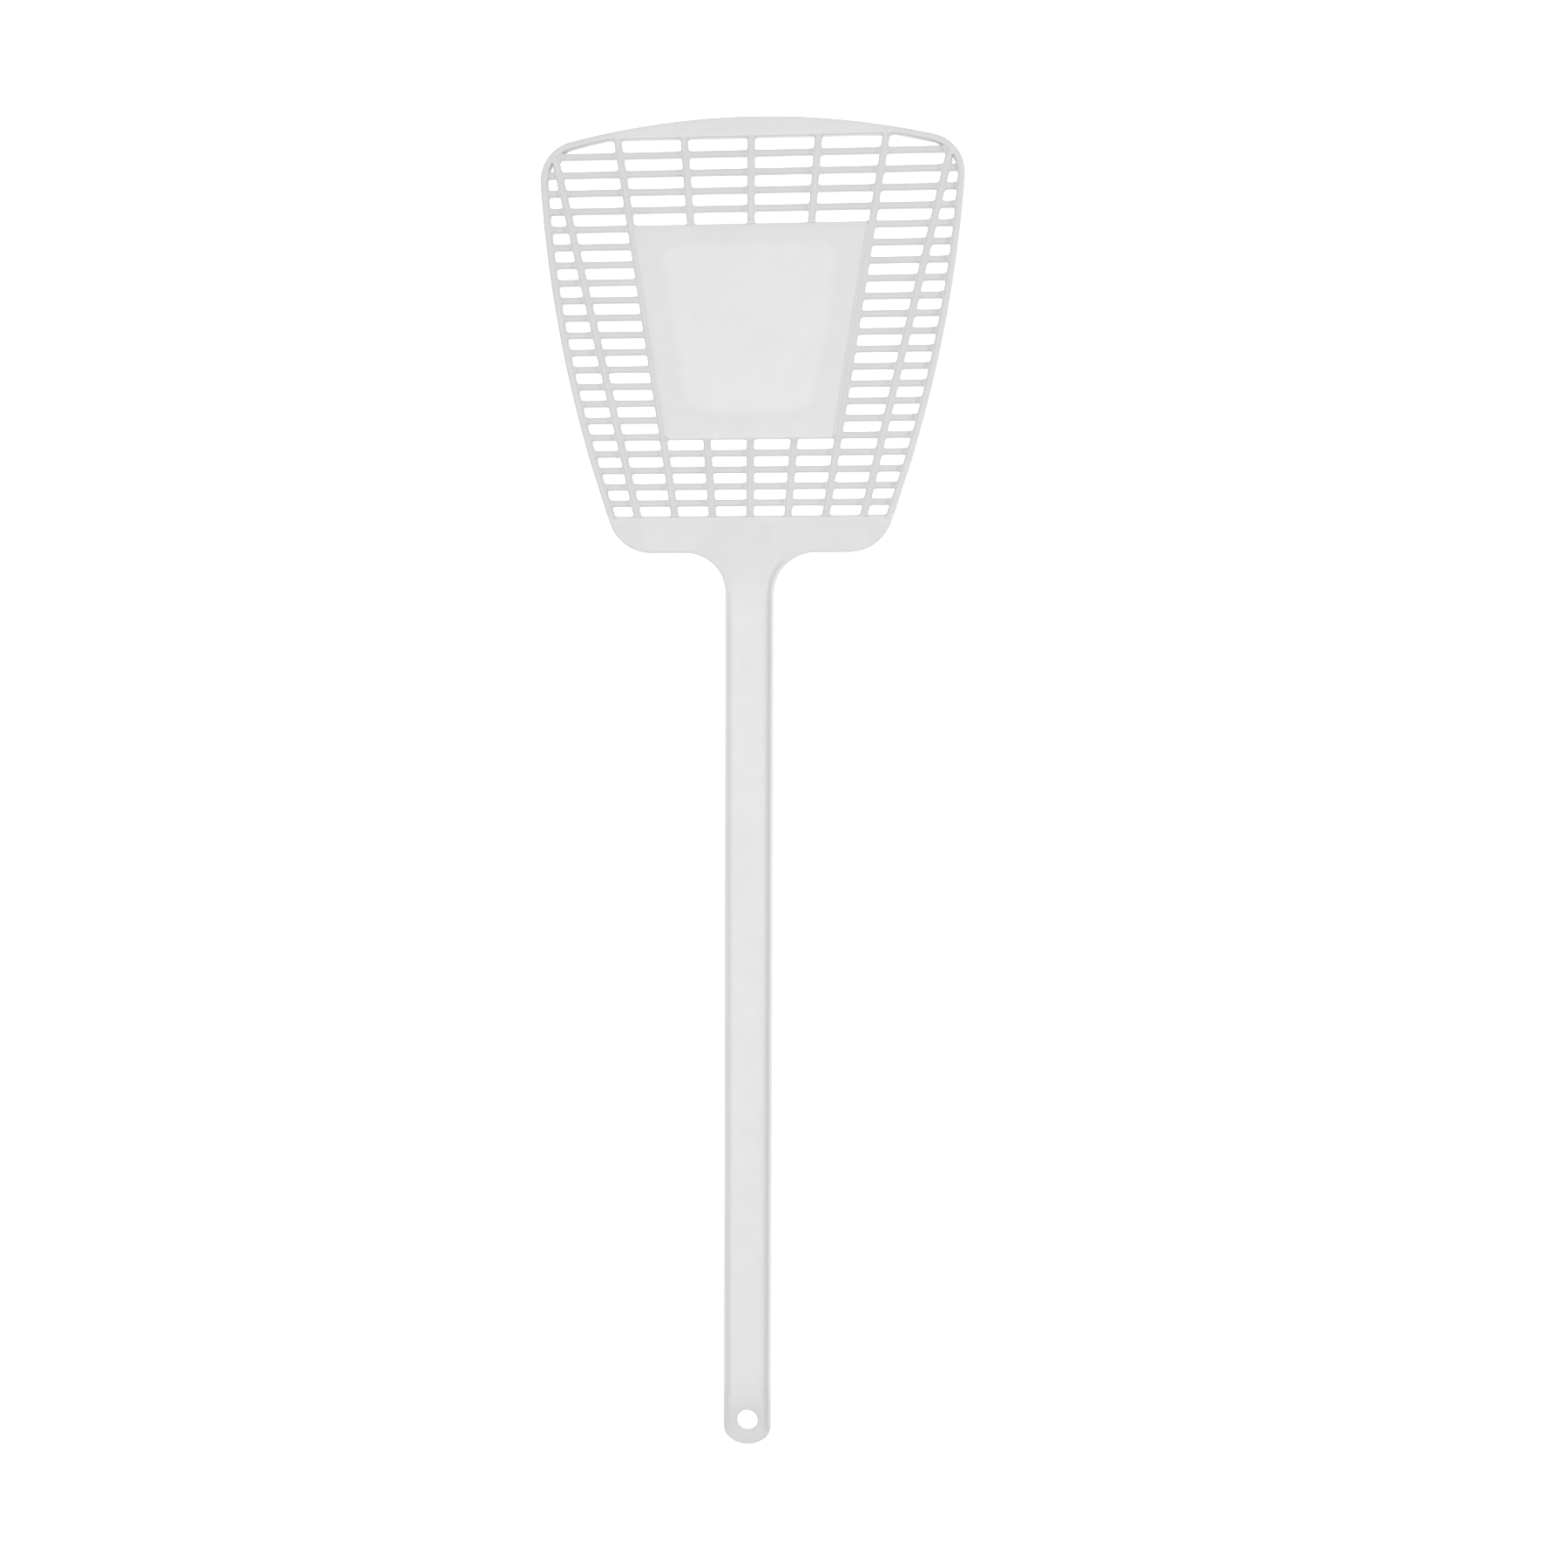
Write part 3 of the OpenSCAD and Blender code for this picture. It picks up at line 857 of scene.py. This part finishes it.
def edge_bead(node, side):
    """Bead along the straight side and up the fillet, from the tab to where it has faded."""
    run = spaced(0, dot(neck_touch - bead_foot, side_run), 1.0)
    stations = [(bead_foot + side_run * d, -side_out) for d in thinned(run, lambda d: d < 16)]
    for i in range(1, SWEEP_STEPS + 1):
        way = cmath.rect(1, neck_start - BEAD_SWEEP * i / SWEEP_STEPS)
        stations.append((neck_c + NECK_R * way, way))
    rows = [[p + way * e for e in reversed(BEAD_OFFSETS)] for p, way in stations]
    if side < 0:
        rows = [[mirrored(p) for p in reversed(row)] for row in rows]
    handle_grid(node, rows)


def beside_bead(y, d):
    """Point at the height y on a straight line that keeps a distance d from the handle's side."""
    side = side_foot + side_run * ((y - side_foot.imag) / side_run.imag)
    return complex((side - side_out * d).real, y)


def handle_web():
    ys = thinned(spaced(tab_y, web_top_y, 1.0), lambda y: y < tab_y + 4)
    rows = []
    for y in ys:
        right = [beside_bead(y, d) for d in WEB_OFFSETS]
        middle = [complex(right[-1].real * (1 - i / 4), y) for i in range(1, 8)]
        rows.append([mirrored(p) for p in right] + [mirrored(p) for p in middle] + right[::-1])
    handle_grid("handle_web", rows)


def neck():
    sweep_end = neck_start - BEAD_SWEEP
    start = beside_bead(web_top_y, BEAD_W)
    touch = neck_touch - BEAD_W * side_out
    inner = [start + (touch - start) * i / 8 for i in range(8)]
    inner += arc(neck_c, NECK_R + BEAD_W, neck_start, sweep_end, SWEEP_STEPS)
    end_way = cmath.rect(1, sweep_end)
    end_offsets = [0.0] + EDGE_LINES + [BEAD_CREST, 1.0, 1.3]
    bead_end = [neck_c + (NECK_R + e) * end_way for e in reversed(end_offsets)]
    fillet = arc(neck_c, NECK_R, sweep_end, math.pi / 2, 12)[1:]
    top_line = [neck_ring(d) for d in EDGE_LINES]
    top_line += [complex(x, shoulder_y) for x in spaced(top_line[-1].real, 0, 1.6)[1:]]
    foot = [complex(x, web_top_y) for x in spaced(0, start.real, 1.6)[:-1]]
    half = foot + inner + bead_end + fillet + top_line
    lines = []
    for d in EDGE_LINES:
        ring = arc(neck_c, NECK_R + d, sweep_end, neck_ring_start(d), 12)
        lines += [ring, [mirrored(p) for p in ring]]
    for e in (0.2, 0.5, 0.9, 1.5):
        line = [start - side_out.real * e + (touch - start) * i / 8 for i in range(1, 8)]
        line += arc(neck_c, NECK_R + BEAD_W + e, neck_start, sweep_end, SWEEP_STEPS)
        lines += [line, [mirrored(p) for p in line]]
    form = Form()
    form.sheet([whole(half, shoulder_y, web_top_y)], lines, 1.4, handle_top, handle_back)
    form.tone = handle_tone
    form.build("neck")


def hang_tab():
    out_way = cmath.phase(side_out)

    def end_line(d):
        return (
            arc(end_arc_c, END_ARC_R - d, -math.pi / 2, end_lean, 12)
            + arc(end_corner_c, END_CORNER_R - d, end_lean, out_way, 14)[1:]
        )

    bead_lines = BEAD_OFFSETS[1:-1]
    seam = [bead_foot - side_out * e for e in bead_lines]
    tongue_foot = bead_foot - side_out * BEAD_W
    tongue_top = beside_bead(tab_y, BEAD_W)
    tongue = [tongue_foot + (tongue_top - tongue_foot) * i / 12 for i in range(13)]
    across = [complex(x, tab_y) for x in spaced(tongue_top.real, 0, 1.2)[1:]]
    half = end_line(0) + seam + tongue + across
    hole = arc(0, hole_r, 0, 2 * math.pi, HOLE_STEPS)[:-1]
    lines = []
    for d in bead_lines + [BEAD_W, 2.0, 2.4, 2.9]:
        line = end_line(d)
        lines.append([mirrored(p) for p in reversed(line[1:])] + line)
    for q in ROUND[1:]:
        lines.append(arc(0, hole_r + HOLE_EDGE_R * q, 0, 2 * math.pi, HOLE_STEPS))
    form = Form()
    form.sheet(
        [whole(half, tab_y, end_y), hole], lines, 0.9,
        lambda p: handle_top(p) - drop(abs(p) - hole_r, HOLE_EDGE_R),
        lambda p: handle_back(p) + drop(abs(p) - hole_r, FOOT_R),
    )
    form.tone = handle_tone
    form.build("hang_tab")


for number in range(1, 22):
    cross_rib("cross_rib_%02d" % number)
for number in range(1, 8):
    long_rib("long_rib_%d" % number, number - 4)
rim("rim_left", -1)
rim("rim_right", 1)
tip_band()
print_panel()
shoulder_plate()
neck()
handle_web()
edge_bead("edge_bead_left", -1)
edge_bead("edge_bead_right", 1)
hang_tab()


# Floor, lights and camera, in metres.
FLOOR_HALF_W = 3.0
FLOOR_Z = -0.0002


def floor():
    """White paper, a fifth of a millimetre below the flat back so that the two don't coincide."""
    mesh = bpy.data.meshes.new("floor")
    corners = [(-FLOOR_HALF_W, -FLOOR_HALF_W), (FLOOR_HALF_W, -FLOOR_HALF_W)]
    corners += [(FLOOR_HALF_W, FLOOR_HALF_W), (-FLOOR_HALF_W, FLOOR_HALF_W)]
    mesh.from_pydata([(x, y, 0) for x, y in corners], [], [[0, 1, 2, 3]])
    ground = bpy.data.objects.new("floor", mesh)
    ground.location.z = FLOOR_Z
    bpy.context.scene.collection.objects.link(ground)
    paper = bpy.data.materials.new("white_paper")
    paper.use_nodes = True
    shader = paper.node_tree.nodes["Principled BSDF"]
    shader.inputs["Base Color"].default_value = (0.95, 0.95, 0.95, 1)
    shader.inputs["Roughness"].default_value = 0.9
    shader.inputs["Emission Color"].default_value = (1, 1, 1, 1)
    shader.inputs["Emission Strength"].default_value = 0.4
    mesh.materials.append(paper)


def area_light(name, location, target, size, power):
    light = bpy.data.lights.new(name, "AREA")
    light.shape = "SQUARE"
    light.size = size
    light.energy = power
    lamp = bpy.data.objects.new(name, light)
    lamp.location = location
    lamp.rotation_mode = "QUATERNION"
    lamp.rotation_quaternion = (Vector(target) - Vector(location)).to_track_quat("-Z", "Y")
    bpy.context.scene.collection.objects.link(lamp)


floor()
centre = (0, 0.22, 0)
area_light("key", (1.05, 0.45, 0.95), centre, 0.9, 4.5)
area_light("fill", (-0.3, 0.2, 1.7), centre, 1.2, 12)

world = bpy.data.worlds.new("studio")
world.use_nodes = True
world.node_tree.nodes["Background"].inputs["Color"].default_value = (1, 1, 1, 1)
world.node_tree.nodes["Background"].inputs["Strength"].default_value = 0.53
bpy.context.scene.world = world

turn = Vector((-0.0068, 0.0907, 0.0033))
camera = bpy.data.objects.new("camera", bpy.data.cameras.new("camera"))
camera.data.lens = 50
camera.data.sensor_width = 36
camera.location = (0.07865, 0.2212, 0.7365)
camera.rotation_mode = "QUATERNION"
camera.rotation_quaternion = Quaternion(turn.normalized(), turn.length)
bpy.context.scene.collection.objects.link(camera)
bpy.context.scene.camera = camera
bpy.context.scene.view_settings.view_transform = "Standard"
